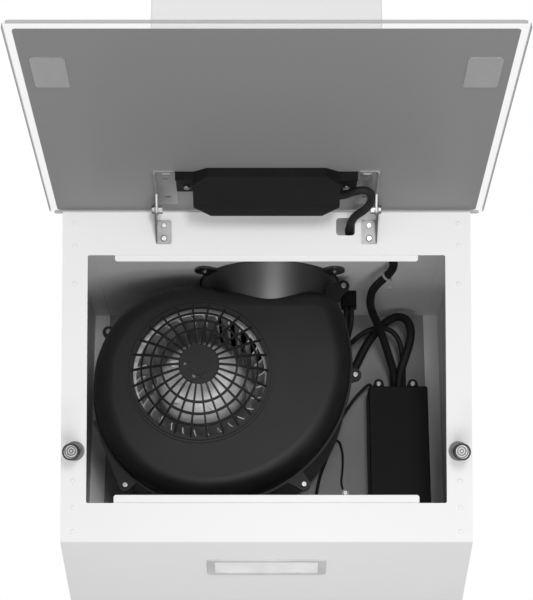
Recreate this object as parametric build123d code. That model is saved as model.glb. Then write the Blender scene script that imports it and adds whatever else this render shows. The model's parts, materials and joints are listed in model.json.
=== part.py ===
from build123d import *
from math import asin, cos, degrees, pi, radians, sin, tan
import os

# Angled wall hood, in millimetres. X runs to the right as seen from the front,
# Y runs into the wall and Z runs up. The origin is on the wall plane, at the
# centre of the four wall screw holes.

# Body of folded sheet steel
hood_width = 466.0
top_depth = 385.0
face_length = 376.5
face_tilt = 14.7
underside_slope = 20.7
top_above_mount = 210.0
sheet = 1.0
fold_radius = 2.5
top_return = 14.0
wall_return = 15.0
side_flange = 20.0

# Wall fixing
wall_hole_spacing_x = 170.0
wall_hole_spacing_z = 340.0
wall_hole_radius = 4.0

# Opening in the face, with a joggled lip above and below
stile = 29.0
top_band = 51.7
opening_length = 281.2
lip_width = 346.0
top_lip = 7.0
bottom_lip = 9.0
lip_joggle = 0.3

# Rivets down each side of the face, by distance from the top edge
rivet_inset = 14.0
rivet_places = [15.9, 41.2, 84.7, 308.5, 338.5, 365.4]
rivet_head_radius = 2.8
rivet_radius = 1.5
rivet_clearance = 0.15

# Lamp in the underside
lamp_from_fold = 55.4
lamp_length = 137.4
lamp_width = 32.7
lamp_lip = 2.0
lamp_bezel = 1.6
lamp_depth = 10.0
lamp_wall = 1.5
diffuser_length = 119.4
diffuser_width = 25.0
diffuser_thickness = 2.4
diffuser_recess = 0.9
led_board_thickness = 1.6
lamp_wire_x = 20.0
lamp_wire_height = -4.0

# Glass front, held open above the body
glass_width = 498.0
glass_length = 398.3
glass_thickness = 4.0
glass_corner = 9.0
glass_border = 9.6
paint_thickness = 0.2
open_angle = 109.75
closed_standoff = 44.6
closed_overhang = 37.8

# Hinge line, from the top edge of the face
pivot_along_face = 2.75
pivot_off_face = 29.5
pivot_radius = 2.5
pivot_clearance = 0.3
hinge_outer_x = 126.0
hinge_plate = 1.5
foot_width = 17.5
foot_start = 11.9
foot_length = 27.0
foot_screw_places = [17.8, 32.6]
ear_thickness = 2.0
ear_radius = 7.0
glass_plate_start = 27.4
glass_plate_length = 77.6
glass_plate_width = 24.0
glass_ear_length = 34.0
glass_plate_rim = 4.5

# Magnet catches
catch_x = 217.0
catch_along_face = 274.3
catch_radius = 9.5
catch_magnet_radius = 7.4
catch_ring_length = 10.0
catch_gap = 0.3
catch_plate_width = 34.4
catch_plate_length = 54.7
catch_plate_thickness = 1.0

# Touch control housing behind the glass
touch_half_width = 80.5
touch_start = 54.0
touch_length = 58.0
touch_split = 11.0
touch_depth = 30.0
touch_ridge_run = 30.0
touch_wall = 2.0
touch_far_chamfer = 15.5
touch_near_chamfer_x = 18.5
touch_near_chamfer_s = 21.0
touch_ear_width = 19.5
touch_ear_length = 42.0
touch_ear_thickness = 3.0
touch_board_thickness = 1.6

# Blower scroll, seen from the front
inlet_x = -81.0
inlet_below_top = 141.0
scroll_back = 28.0
scroll_flange = 170.0
scroll_front = 210.0
scroll_wall = 2.5
scroll_front_round = 24.0
scroll_back_round = 14.0
scroll_radius = 118.4
scroll_step_x = 20.1
scroll_step_z = 37.5
scroll_upright = 15.6
scroll_centre_x = -11.1
scroll_centre_z = -1.9
scroll_flank_angle = 12.0
tongue_radius = 90.0
tongue_drop = 8.5
tongue_hollow = 40.0
shoulder_radius = 40.0
scroll_flange_rim = 3.0
scroll_flange_thickness = 3.0
lug_radius = 7.5
lug_root = 26.0
lug_root_radius = 14.0
lug_places = [(-90.4, -133.0), (126.6, -132.0), (191.1, 6.0), (178.1, 122.3), (-116.3, 61.5)]
flange_web_end = (-128.0, -55.0)
inlet_lip_width = 2.6
inlet_lip_height = 1.8
inlet_lip_gap = 0.8

# Inlet grille
inlet_radius = 83.0
grille_rim_radius = 86.5
grille_rim_thickness = 2.2
grille_sleeve_depth = 6.0
grille_hub_radius = 24.5
grille_boss_radius = 12.5
grille_mid_radius = 61.0
grille_mid_height = 19.0
grille_height = 33.0
grille_depth = 3.0
grille_bar = 2.3
grille_spokes = 26
grille_ring_radii = [45.5, 58.5, 70.5]

# Fan wheel and motor
wheel_radius = 88.0
wheel_inner_radius = 68.0
wheel_back = 48.0
wheel_front = 186.0
wheel_sheet = 1.2
wheel_ring_width = 9.0
wheel_blades = 30
blade_lead = 14.0
wheel_dome_radius = 54.0
wheel_dome_nose = 174.0
wheel_nose_start = 148.0
wheel_nose_shoulder = (43.5, 165.5)
wheel_flat_radius = 14.0
wheel_slots = 5
wheel_slot_place = 33.0
wheel_slot_length = 24.0
wheel_slot_width = 8.0
wheel_slot_turn = 35.0
motor_radius = 43.0
motor_front = 150.0
motor_flange_radius = 47.0
motor_flange_thickness = 3.2
shaft_radius = 4.0
shaft_clearance = 0.3
seat_gap = 0.3

# Outlet: neck below the top plate, collar and flaps above it
duct_x = 4.0
duct_from_wall = 132.0
duct_radius = 75.0
duct_wall = 2.2
neck_depth = 52.0
neck_flange_radius = 94.0
neck_flange_thickness = 3.2
neck_rim_depth = 8.0
neck_screw_radius = 99.5
neck_screw_angle = 35.0
neck_lobe_radius = 13.0
collar_height = 56.0
flap_height = 30.0
flap_pin_radius = 2.0
flap_pin_clearance = 0.1
flap_boss_radius = 3.8
flap_boss_length = 3.3
flap_boss_floor = 0.4
flap_thickness = 1.6
flap_edge_gap = 1.4
knuckle_radius = 3.6
flap_seat_width = 2.4
flap_seat_thickness = 2.0
collar_flange_thickness = 2.5

# Control box on the back panel
box_left = 133.5
box_width = 77.0
box_below_top = 118.0
box_height = 186.0
box_depth = 58.0
box_lid_depth = 15.0
box_wall = 2.5
box_ear_radius = 6.5
box_ear_places = [13.4, 58.0]

# Chimney cover in two telescoping lengths
chimney_width = 294.0
chimney_depth = 265.0
chimney_height = 345.0
chimney_return = 16.0
chimney_gap = 0.5
upper_proud = 8.0
upper_travel = 250.0
upper_overlap = 67.0

# Screws
screw_head_radius = 3.6
screw_head_height = 2.4
screw_radius = 1.9
screw_hole_clearance = 0.2

# Wiring
sleeve_radius = 5.0
lead_radius = 4.9
wire_radius = 2.8
lamp_wire_radius = 1.6
earth_radius = 1.2
cable_clearance = 0.3
cable_hole_x = 90.3
cable_hole_along = 19.0
cable_hole_width = 21.6
cable_hole_length = 20.2
plug_left = 97.5
plug_width = 19.5
plug_from_wall = 88.0
plug_thickness = 18.0
plug_drop = 20.0
plug_lead_spacing = 7.0
gland_x = 72.0
gland_from_wall = 15.0
gland_thread_radius = 6.8
earth_x = 103.5
earth_below_top = 248.0
motor_lead_x = -47.0
motor_earth_x = -62.0
motor_earth_below_top = 165.0

# Reference planes. A point on the face is (x, -distance down the face, height off it),
# on the underside (x, -distance from the fold, height off it) and on the open glass
# (x, distance from the hinge edge, height below it).
tilt = radians(face_tilt)
slope = radians(underside_slope)
top = top_above_mount
face_plane = Plane(origin=(0, -top_depth, top), x_dir=(1, 0, 0), z_dir=(0, -cos(tilt), -sin(tilt)))
fold = face_plane.from_local_coords((0, -face_length, 0))
under_plane = Plane(origin=fold, x_dir=(1, 0, 0), z_dir=(0, -sin(slope), -cos(slope)))
pivot = face_plane.from_local_coords((0, -pivot_along_face, pivot_off_face))
pivot_s = closed_overhang + pivot_along_face
pivot_n = closed_standoff - pivot_off_face
glass_rise = radians(open_angle + face_tilt - 90.0 - 2 * face_tilt)
glass_along = Vector(0, -cos(glass_rise), sin(glass_rise))
glass_out = Vector(0, -sin(glass_rise), -cos(glass_rise))
glass_plane = Plane(
    origin=pivot - glass_along * pivot_s - glass_out * pivot_n, x_dir=(1, 0, 0), z_dir=glass_out
)
MIN = (Align.MIN, Align.MIN, Align.MIN)
nodes = {}


def block(x, y, z):
    """A box between two values on each axis."""
    return Pos(x[0], y[0], z[0]) * Box(x[1] - x[0], y[1] - y[0], z[1] - z[0], align=MIN)


def disc(x, y, z, radius, height):
    """A cylinder standing on a point, along local Z."""
    return Pos(x, y, z) * Cylinder(radius, height, align=(Align.CENTER, Align.CENTER, Align.MIN))


def on_face(shape):
    return face_plane.location * shape


def on_underside(shape):
    return under_plane.location * shape


def on_glass(shape):
    return glass_plane.location * shape


def from_wall(shape, distance):
    """Put a sketch of X and Z, or a solid built on it, facing the front at a distance from the wall."""
    return Plane.XZ.offset(distance).location * shape


def side_view(sketch, x0, x1):
    """Extrude a sketch of local Y and Z between two X values."""
    return extrude(Plane.YZ.offset(x0).location * sketch, amount=x1 - x0, dir=(1, 0, 0))


def both_sides(shape):
    return [shape, mirror(shape, about=Plane.YZ)]


def save(name, *shapes):
    nodes[name] = [solid for shape in shapes for solid in shape.solids()]


def screw(length, head_radius=screw_head_radius, head_height=screw_head_height):
    """Pan-head screw standing on local Z = 0, its shank going down."""
    head = fillet(disc(0, 0, 0, head_radius, head_height).edges().group_by(Axis.Z)[-1], head_height * 0.45)
    cross = block((-0.4, 0.4), (-1.8, 1.8), (head_height - 0.9, head_height))
    cross += Rot(0, 0, 90) * cross
    return head - cross + disc(0, 0, -length, screw_radius, length)


# Body of the hood
def body_corners(face_inset, underside_inset, top_inset, wall_inset):
    """Corners of the side view as (y, z), with each side moved inwards."""
    y_face = -top_depth + face_inset / cos(tilt)
    z_under = fold.Z + underside_inset / cos(slope)
    across = (top - z_under - fold.Y * tan(slope)) * tan(tilt)
    y_fold = (y_face + across) / (1 - tan(slope) * tan(tilt))
    return [
        (y_face + top_inset * tan(tilt), top - top_inset),
        (y_fold, z_under - (y_fold - fold.Y) * tan(slope)),
        (-wall_inset, z_under - (-wall_inset - fold.Y) * tan(slope)),
        (-wall_inset, top - top_inset),
    ]


half_width = hood_width / 2
opening_half = half_width - stile
opening_end = top_band + opening_length
rivet_x = half_width - rivet_inset


def face_window(grow, low, high):
    """The opening of the face as a solid, for cutting or for a clear passage."""
    window = RectangleRounded(2 * opening_half + 2 * grow, opening_length + 2 * grow, 2.0)
    centre = -(top_band + opening_length / 2)
    return on_face(Pos(0, centre, low) * extrude(window, amount=high - low))


def make_front_frame():
    top_corner, fold_corner, wall_corner, _ = body_corners(0, 0, 0, sheet)
    path = FilletPolyline(
        (top_corner[0] + top_return, top),
        top_corner,
        fold_corner,
        wall_corner,
        (wall_corner[0], wall_corner[1] + wall_return),
        radius=fold_radius,
    )
    wall = make_face(offset(path, amount=sheet, side=Side.LEFT, closed=True).edges())
    frame = side_view(wall, -half_width, half_width)
    frame -= face_window(0, -2 * sheet, sheet)
    above_floor = make_face(Polyline(*body_corners(0, sheet, 0, 0), close=True))
    notch = side_view(above_floor, half_width - side_flange - 1, half_width + 1)
    notch &= block((0, hood_width), (-sheet - fold_radius - 0.5, 0), (-hood_width, top - 3 * sheet))
    for corner in both_sides(notch):
        frame -= corner
    lip_low = -(sheet * 2 + lip_joggle)
    lip_back = -(sheet + lip_joggle)
    for start, end in ((top_band - 8, top_band + top_lip), (opening_end - bottom_lip, opening_end + 8)):
        lip = extrude(RectangleRounded(lip_width, end - start, 3.0), amount=lip_back - lip_low)
        frame += on_face(Pos(0, -(start + end) / 2, lip_low) * lip)
        root = (start + 2, start + 6) if start < top_band else (end - 6, end - 2)
        joggle = block((-lip_width / 2 + 4, lip_width / 2 - 4), (-root[1], -root[0]), (lip_back, -sheet))
        frame += on_face(joggle)
    hole = RectangleRounded(cable_hole_width, cable_hole_length, 4.0)
    frame -= on_face(Pos(cable_hole_x, -cable_hole_along, -2 * sheet) * extrude(hole, amount=3 * sheet))
    lamp_hole = RectangleRounded(lamp_length - 2 * lamp_lip, lamp_width - 2 * lamp_lip, 3.0)
    frame -= on_underside(Pos(0, -lamp_from_fold, -2 * sheet) * extrude(lamp_hole, amount=3 * sheet))
    for x in (-rivet_x, rivet_x):
        for place in rivet_places:
            frame -= on_face(disc(x, -place, -3 * sheet, rivet_radius + rivet_clearance, 4 * sheet))
    for side in (-1, 1):
        places = [(foot_screw_x, place) for place in foot_screw_places] + [(catch_x, catch_along_face)]
        for x, along in places:
            hole = disc(side * x, -along, -2 * sheet, screw_radius + screw_hole_clearance, 4 * sheet)
            frame -= on_face(hole)
    return frame


def make_side_panel():
    """Right-hand side: a flat panel with a flange turned inwards all round."""
    outer = make_face(Polyline(*body_corners(sheet, sheet, 2 * sheet, sheet), close=True))
    outer = fillet(outer.vertices().group_by(Axis.X)[0] + outer.vertices().group_by(Axis.X)[1], fold_radius)
    inner = make_face(Polyline(*body_corners(2 * sheet, 2 * sheet, 3 * sheet, 2 * sheet), close=True))
    panel = side_view(outer, half_width - side_flange, half_width)
    panel -= side_view(inner, half_width - side_flange - 1, half_width - sheet)
    for place in rivet_places:
        panel -= on_face(disc(rivet_x, -place, -4 * sheet, rivet_radius + rivet_clearance, 5 * sheet))
    stud = disc(catch_x, -catch_along_face, -5, screw_radius + screw_hole_clearance, 5)
    return panel - on_face(stud)


def make_top_plate():
    plate = block((-half_width, half_width), (-top_depth + 4, 0), (top - 2 * sheet, top - sheet))
    plate -= disc(duct_x, -duct_from_wall, top - 3 * sheet, duct_radius - duct_wall, 4 * sheet)
    for x, y in neck_screws():
        plate -= disc(x, y, top - 3 * sheet, screw_radius + screw_hole_clearance, 4 * sheet)
    plate -= disc(gland_x, -gland_from_wall, top - 3 * sheet, gland_thread_radius + 0.2, 4 * sheet)
    return plate


def make_back_panel():
    low = body_corners(0, 0, 0, sheet)[2][1]
    panel = block((-half_width, half_width), (-sheet, 0), (low, top - 2 * sheet))
    for x in (-wall_hole_spacing_x / 2, wall_hole_spacing_x / 2):
        for z in (-wall_hole_spacing_z / 2, wall_hole_spacing_z / 2):
            panel -= from_wall(disc(x, z, -1, wall_hole_radius, 2 * sheet + 1), 0)
    bead = extrude(SlotOverall(20.0, 4.5, rotation=90), amount=sheet)
    for x, below in ((109.5, 223.5), (-109.5, 223.5)):
        panel += from_wall(Pos(x, top - below, 0) * bead, sheet)
    panel -= from_wall(disc(earth_x, top - earth_below_top, -1, screw_radius + screw_hole_clearance, 4), 0)
    return panel


foot_screw_x = hinge_outer_x - 9.0


def neck_screws():
    """Four screws round the outlet, in the flange under the top plate."""
    for angle in (neck_screw_angle, 180 - neck_screw_angle, 180 + neck_screw_angle, -neck_screw_angle):
        x = duct_x + neck_screw_radius * cos(radians(angle))
        yield x, -duct_from_wall + neck_screw_radius * sin(radians(angle))


def make_rivets():
    for x in (-rivet_x, rivet_x):
        for place in rivet_places:
            head = disc(x, -place, 0, rivet_head_radius, 1.0)
            head = fillet(head.edges().group_by(Axis.Z)[-1], 0.7)
            yield on_face(head + disc(x, -place, -3 * sheet, rivet_radius, 3 * sheet))


save("front_frame", make_front_frame())
side_panel = make_side_panel()
save("side_panel_right", side_panel)
save("side_panel_left", mirror(side_panel, about=Plane.YZ))
save("top_plate", make_top_plate())
save("back_panel", make_back_panel())
save("frame_rivets", *make_rivets())


# Lamp
def make_lamp_frame():
    bezel = extrude(RectangleRounded(lamp_length, lamp_width, 4.0), amount=lamp_bezel)
    bezel = chamfer(bezel.edges().group_by(Axis.Z)[-1], 0.6)
    fit = lamp_lip + 0.3
    tray = extrude(RectangleRounded(lamp_length - 2 * fit, lamp_width - 2 * fit, 2.7), amount=-lamp_depth)
    hollow = RectangleRounded(lamp_length - 2 * fit - 2 * lamp_wall, lamp_width - 2 * fit - 2 * lamp_wall, 1.5)
    tray -= Pos(0, 0, -lamp_depth + lamp_wall) * extrude(hollow, amount=lamp_depth)
    window = extrude(RectangleRounded(diffuser_length, diffuser_width, 1.5), amount=lamp_bezel + 1)
    wire_hole = Pos(lamp_wire_x, -lamp_width / 2, lamp_wire_height) * Rot(90, 0, 0)
    wire_hole *= Cylinder(lamp_wire_radius + 0.1, lamp_width / 2)
    return on_underside(Pos(0, -lamp_from_fold, 0) * (bezel + tray - window - wire_hole))


def make_diffuser():
    plate = RectangleRounded(diffuser_length - 0.3, diffuser_width - 0.3, 1.4)
    low = lamp_bezel - diffuser_recess - diffuser_thickness
    return on_underside(Pos(0, -lamp_from_fold, low) * extrude(plate, amount=diffuser_thickness))


def make_led_board():
    low = -lamp_depth + lamp_wall
    board = block((-60, 60), (-9, 9), (low, low + led_board_thickness))
    for x in range(-50, 51, 20):
        chip = (low + led_board_thickness, low + led_board_thickness + 1)
        board += block((x - 1.8, x + 1.8), (-1.8, 1.8), chip)
    return on_underside(Pos(0, -lamp_from_fold, 0) * board)


save("lamp_frame", make_lamp_frame())
save("lamp_diffuser", make_diffuser())
save("lamp_led_board", make_led_board())


# Hinges. Right-hand pieces are made and mirrored.
def make_hinge_foot():
    inner_x = hinge_outer_x - foot_width
    plate = block((inner_x, hinge_outer_x), (-foot_start - foot_length, -foot_start), (0, hinge_plate))
    plate = fillet(plate.edges().filter_by(Axis.Z).group_by(Axis.X)[0], 2.0)
    lug = Pos(-pivot_along_face, pivot_off_face) * Circle(ear_radius)
    base = Line((-foot_start - foot_length, 0), (-foot_start, 0))
    arm = make_hull([*lug.edges(), base]) - Pos(-pivot_along_face, pivot_off_face) * Circle(pivot_radius + 0.05)
    foot = plate + side_view(arm, hinge_outer_x - hinge_plate, hinge_outer_x)
    for place in foot_screw_places:
        foot -= disc(foot_screw_x, -place, -1, screw_radius + screw_hole_clearance, 4)
    return on_face(foot)


def make_pivot():
    """Pivot bolt with its head outside, and washer and locknut inside."""
    ear_outer = hinge_outer_x - hinge_plate - pivot_clearance
    washer_x = ear_outer - ear_thickness - pivot_clearance
    axis_sketch = Pos(pivot.Y, pivot.Z)
    bolt = side_view(axis_sketch * Circle(5.0), hinge_outer_x, hinge_outer_x + 3.4)
    bolt = fillet(bolt.edges().group_by(Axis.X)[-1], 1.2)
    bolt += side_view(axis_sketch * Circle(pivot_radius), washer_x - 4.9, hinge_outer_x)
    bolt += side_view(axis_sketch * Circle(5.6), washer_x - 0.9, washer_x)
    return bolt + side_view(axis_sketch * RegularPolygon(5.0, 6), washer_x - 4.9, washer_x - 0.9)


def make_glass_bracket():
    outer_x = hinge_outer_x - hinge_plate - pivot_clearance
    inner_x = outer_x - glass_plate_width
    end = glass_plate_start + glass_plate_length
    low = paint_thickness
    plate = block((inner_x, outer_x), (glass_plate_start, end), (low, low + hinge_plate))
    plate = fillet(plate.edges().filter_by(Axis.Z).group_by(Axis.X)[0], 3.0)
    lug = Pos(pivot_s, pivot_n) * Circle(ear_radius)
    base = Line((glass_plate_start, low), (glass_plate_start + glass_ear_length, low))
    ear = make_hull([*lug.edges(), base]) - Pos(pivot_s, pivot_n) * Circle(pivot_radius + pivot_clearance)
    bracket = plate + side_view(ear, outer_x - ear_thickness, outer_x)
    bracket += block((outer_x - ear_thickness, outer_x), (glass_plate_start, end), (low, low + glass_plate_rim))
    middle = outer_x - 13.5
    bracket -= Pos(middle, end - 16, 0) * extrude(SlotOverall(6.5, 3.0), amount=3)
    bracket -= Pos(middle, glass_plate_start + 18, 0) * extrude(SlotOverall(6.5, 3.0), amount=3)
    ridge = RectangleRounded(13, 26, 3) - RectangleRounded(10, 23, 1.6)
    ridge &= Pos(0, 8) * Rectangle(14, 26)
    return on_glass(bracket + Pos(middle, end - 17, low + hinge_plate) * extrude(ridge, amount=0.8))


def make_foot_screws():
    for x in (-foot_screw_x, foot_screw_x):
        yield on_face(Pos(x, -foot_screw_places[0], hinge_plate) * screw(5, 2.9, 1.2))
        yield on_face(Pos(x, -foot_screw_places[1], hinge_plate) * screw(5))


foot_right, foot_left = both_sides(make_hinge_foot())
save("hinge_foot_right", foot_right)
save("hinge_foot_left", foot_left)
save("hinge_foot_screws", *make_foot_screws())
save("hinge_pivots", *both_sides(make_pivot()))
bracket_right, bracket_left = both_sides(make_glass_bracket())
save("glass_bracket_right", bracket_right)
save("glass_bracket_left", bracket_left)

# Magnet catches on the face and their steel plates on the glass
catch_top = closed_standoff - paint_thickness - catch_plate_thickness - catch_gap


def make_catch_post():
    bore = catch_magnet_radius + 0.2
    post = disc(0, 0, 0, catch_radius - 0.9, catch_top - catch_ring_length)
    post += disc(0, 0, 0, catch_radius + 1.5, 2.0)
    post += disc(0, 0, -3, screw_radius, 3)
    ring_low = catch_top - catch_ring_length
    ring = disc(0, 0, ring_low, catch_radius, catch_ring_length)
    ring = fillet(ring.edges().group_by(Axis.Z)[-1], 0.9)
    ring -= disc(0, 0, ring_low + 2, bore, catch_ring_length)
    magnet = disc(0, 0, ring_low + 2, catch_magnet_radius, catch_ring_length - 2.3)
    for radius in (2.2, 4.0, 5.8):
        groove = Circle(radius + 0.35) - Circle(radius - 0.35)
        magnet -= Pos(0, 0, catch_top - 0.8) * extrude(groove, amount=1)
    return [on_face(Pos(catch_x, -catch_along_face, 0) * piece) for piece in (post, ring, magnet)]


for name, piece in zip(("catch_posts", "catch_rings", "catch_magnets"), make_catch_post()):
    save(name, *both_sides(piece))

# Glass front
paint_length = glass_length - 2 * glass_border
glass = Pos(0, glass_length / 2, -glass_thickness) * extrude(
    RectangleRounded(glass_width, glass_length, glass_corner), amount=glass_thickness
)
save("glass_panel", on_glass(chamfer(glass.edges().group_by(Axis.Z)[0], 0.8)))
paint = RectangleRounded(glass_width - 2 * glass_border, paint_length, 4.0)
save("glass_paint", on_glass(Pos(0, glass_length / 2, 0) * extrude(paint, amount=paint_thickness)))
catch_plate = RectangleRounded(catch_plate_width, catch_plate_length, 3.0)
catch_plate = extrude(catch_plate, amount=catch_plate_thickness)
catch_plate_s = closed_overhang + catch_along_face
save(
    "catch_plates",
    *both_sides(on_glass(Pos(catch_x - 4.5, catch_plate_s - 1.5, paint_thickness) * catch_plate)),
)


# Touch control housing: a base against the glass and a ridged cover
def touch_solid(inset):
    """Octagonal plan crossed with the ridged side view, each side moved inwards."""
    wide = touch_half_width - inset
    low, high = touch_start + inset, touch_start + touch_length - inset
    plan = Polyline(
        (-wide + touch_near_chamfer_x, low),
        (wide - touch_near_chamfer_x, low),
        (wide, low + touch_near_chamfer_s),
        (wide, high - touch_far_chamfer * 0.6),
        (wide - touch_far_chamfer, high),
        (-wide + touch_far_chamfer, high),
        (-wide, high - touch_far_chamfer * 0.6),
        (-wide, low + touch_near_chamfer_s),
        close=True,
    )
    deep = touch_depth - inset
    profile = Polyline(
        (low, paint_thickness),
        (high, paint_thickness),
        (high, touch_split),
        (touch_start + touch_length - touch_ridge_run, deep),
        (low, deep),
        close=True,
    )
    body = extrude(make_face(plan), amount=touch_depth) & side_view(make_face(profile), -wide, wide)
    return body


def make_touch_housing():
    outer = touch_solid(0)
    inner = touch_solid(touch_wall)
    shell = outer - inner
    everything = (-touch_half_width - 1, touch_half_width + 1)
    near_far = (touch_start - 1, touch_start + touch_length + 1)
    base = shell & block(everything, near_far, (0, touch_split))
    floor = outer & block(everything, near_far, (0, paint_thickness + touch_wall))
    base += floor
    cover = shell & block(everything, near_far, (touch_split, touch_depth))
    exit_hole = Rot(0, 90, 0) * Cylinder(sleeve_radius + cable_clearance, 40)
    exit_hole = Pos(touch_half_width, touch_cable_s, touch_cable_n) * exit_hole
    base -= exit_hole
    cover -= exit_hole
    latch = block((54, 63), (touch_start - 1.4, touch_start + touch_wall), (touch_depth - 7, touch_depth - 1.5))
    cover += latch
    high = touch_start + touch_length - 8.6
    ear_top = paint_thickness + touch_ear_thickness
    ear_end = touch_half_width + touch_ear_width
    for side in (-1, 1):
        span = sorted((side * (touch_half_width - 0.5), side * ear_end))
        ear = block(span, (high - touch_ear_length, high), (paint_thickness, ear_top))
        ear += block(span, (high - 2.5, high), (paint_thickness, touch_split - 0.5))
        place = (side * touch_screw_x, touch_screw_s)
        ear -= disc(*place, -1, screw_radius + screw_hole_clearance, 6)
        base += ear
    return base, cover


touch_screw_x = 88.5
touch_screw_s = 73.0
touch_cable_s = 68.0
touch_cable_n = 12.5
touch_base, touch_cover = make_touch_housing()
save("touch_box_base", on_glass(touch_base))
save("touch_box_cover", on_glass(touch_cover))
board_low = paint_thickness + touch_wall
touch_board = block(
    (-52, 52), (touch_start + 6, touch_start + touch_length - 6), (board_low, board_low + touch_board_thickness)
)
for x in (-36, -18, 0, 18, 36):
    touch_board += disc(x, touch_start + 40, board_low + touch_board_thickness, 4.0, 3.0)
save("touch_board", on_glass(touch_board))
touch_screw_n = paint_thickness + touch_ear_thickness
save(
    "touch_box_screws",
    *[on_glass(Pos(x, touch_screw_s, touch_screw_n) * screw(2.9)) for x in (-touch_screw_x, touch_screw_x)],
)

# Blower scroll
inlet_z = top - inlet_below_top
scroll_x = inlet_x + scroll_centre_x
scroll_z = inlet_z + scroll_centre_z
scroll_top = scroll_z + scroll_radius
neck_line = scroll_top - tongue_drop


def scroll_outline():
    """Three growing arcs from the tongue round to the flank, a shoulder and the tongue dip."""
    left = CenterArc((scroll_x, scroll_z), scroll_radius, 90, 90)
    upright = Line(left @ 1, left @ 1 - Vector(0, scroll_upright))
    second = (scroll_x + scroll_step_x, scroll_z - scroll_upright)
    bottom = CenterArc(second, scroll_radius + scroll_step_x, 180, 90)
    third = (second[0], second[1] + scroll_step_z)
    last_radius = scroll_radius + scroll_step_x + scroll_step_z
    right = CenterArc(third, last_radius, 270, 90 + scroll_flank_angle)
    flank = right @ 1
    shoulder_x = flank.X - (neck_line - flank.Y) * tan(radians(scroll_flank_angle))
    tongue_z = scroll_top - tongue_radius
    rise = neck_line + tongue_hollow - tongue_z
    turn = asin(rise / (tongue_radius + tongue_hollow))
    hollow_x = scroll_x + (tongue_radius + tongue_hollow) * cos(turn)
    hollow = CenterArc((hollow_x, neck_line + tongue_hollow), tongue_hollow, 270, -(90 - degrees(turn)))
    tongue = CenterArc((scroll_x, tongue_z), tongue_radius, degrees(turn), 90 - degrees(turn))
    shoulder = Line(flank, (shoulder_x, neck_line))
    crown = Line((shoulder_x, neck_line), (hollow_x, neck_line))
    face = make_face([left, upright, bottom, right, shoulder, crown, hollow, tongue])
    corner = face.vertices().sort_by_distance((shoulder_x, neck_line))[0]
    return fillet(corner, shoulder_radius)


def scroll_flange_outline(outline):
    """Narrow rim with an ear round each screw and a web up from the lowest ear on the left."""
    flange = offset(outline, amount=scroll_flange_rim)
    for x, z in lug_places:
        tip = Vector(inlet_x + x, inlet_z + z)
        root = tip + (Vector(scroll_x, scroll_z) - tip).normalized() * lug_root
        ear = (Pos(tip) * Circle(lug_radius)).edges() + (Pos(root) * Circle(lug_root_radius)).edges()
        flange += make_hull(ear)
    x, z = lug_places[0]
    web = (Pos(inlet_x + x, inlet_z + z) * Circle(lug_radius)).edges()
    x, z = flange_web_end
    web += (Pos(inlet_x + x, inlet_z + z) * Circle(scroll_flange_rim)).edges()
    return flange + make_hull(web)


def neck_passage():
    """Room in the scroll for the neck, from just above it down to the neck's end."""
    return disc(duct_x, -duct_from_wall, top - neck_depth, duct_radius + seat_gap, neck_depth)


def make_scroll():
    outline = scroll_outline()
    inside = offset(outline, amount=-scroll_wall)
    deep = scroll_front - scroll_flange
    bowl = extrude(outline, amount=deep)
    bowl = fillet(bowl.faces().sort_by(Axis.Z)[-1].edges(), scroll_front_round)
    hollow = extrude(inside, amount=deep - scroll_wall)
    hollow = fillet(hollow.faces().sort_by(Axis.Z)[-1].edges(), scroll_front_round - scroll_wall)
    flange = scroll_flange_outline(outline)
    ring = flange - inside
    for x, z in lug_places:
        ring -= Pos(inlet_x + x, inlet_z + z) * Circle(screw_radius + screw_hole_clearance)
    front = bowl - hollow + extrude(ring, amount=scroll_flange_thickness)
    front -= disc(inlet_x, inlet_z, 0, inlet_radius, deep + 1)
    lip_radius = grille_rim_radius + inlet_lip_gap
    lip = Circle(lip_radius + inlet_lip_width) - Circle(lip_radius)
    front += Pos(inlet_x, inlet_z, deep) * extrude(lip, amount=inlet_lip_height)
    back_deep = scroll_flange - scroll_back
    tub = extrude(outline, amount=-back_deep)
    tub = fillet(tub.faces().sort_by(Axis.Z)[0].edges(), scroll_back_round)
    core = extrude(inside, amount=-(back_deep - scroll_wall))
    core = fillet(core.faces().sort_by(Axis.Z)[0].edges(), scroll_back_round - scroll_wall)
    back = tub - core + extrude(ring, amount=-scroll_flange_thickness)
    for x, z, radius in (
        (motor_lead_x, inlet_z, wire_radius),
        (motor_earth_x, top - motor_earth_below_top, earth_radius),
    ):
        back -= disc(x, z, -back_deep - 1, radius + cable_clearance, scroll_wall + 2)
    passage = neck_passage()
    return [from_wall(piece, scroll_flange) - passage for piece in (back, front)]


scroll_back_shell, scroll_front_shell = make_scroll()
save("blower_back_shell", scroll_back_shell)
save("blower_front_shell", scroll_front_shell)
save(
    "blower_screws",
    *[
        from_wall(Pos(inlet_x + x, inlet_z + z, scroll_flange_thickness) * screw(8), scroll_flange)
        for x, z in lug_places
    ],
)


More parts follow.
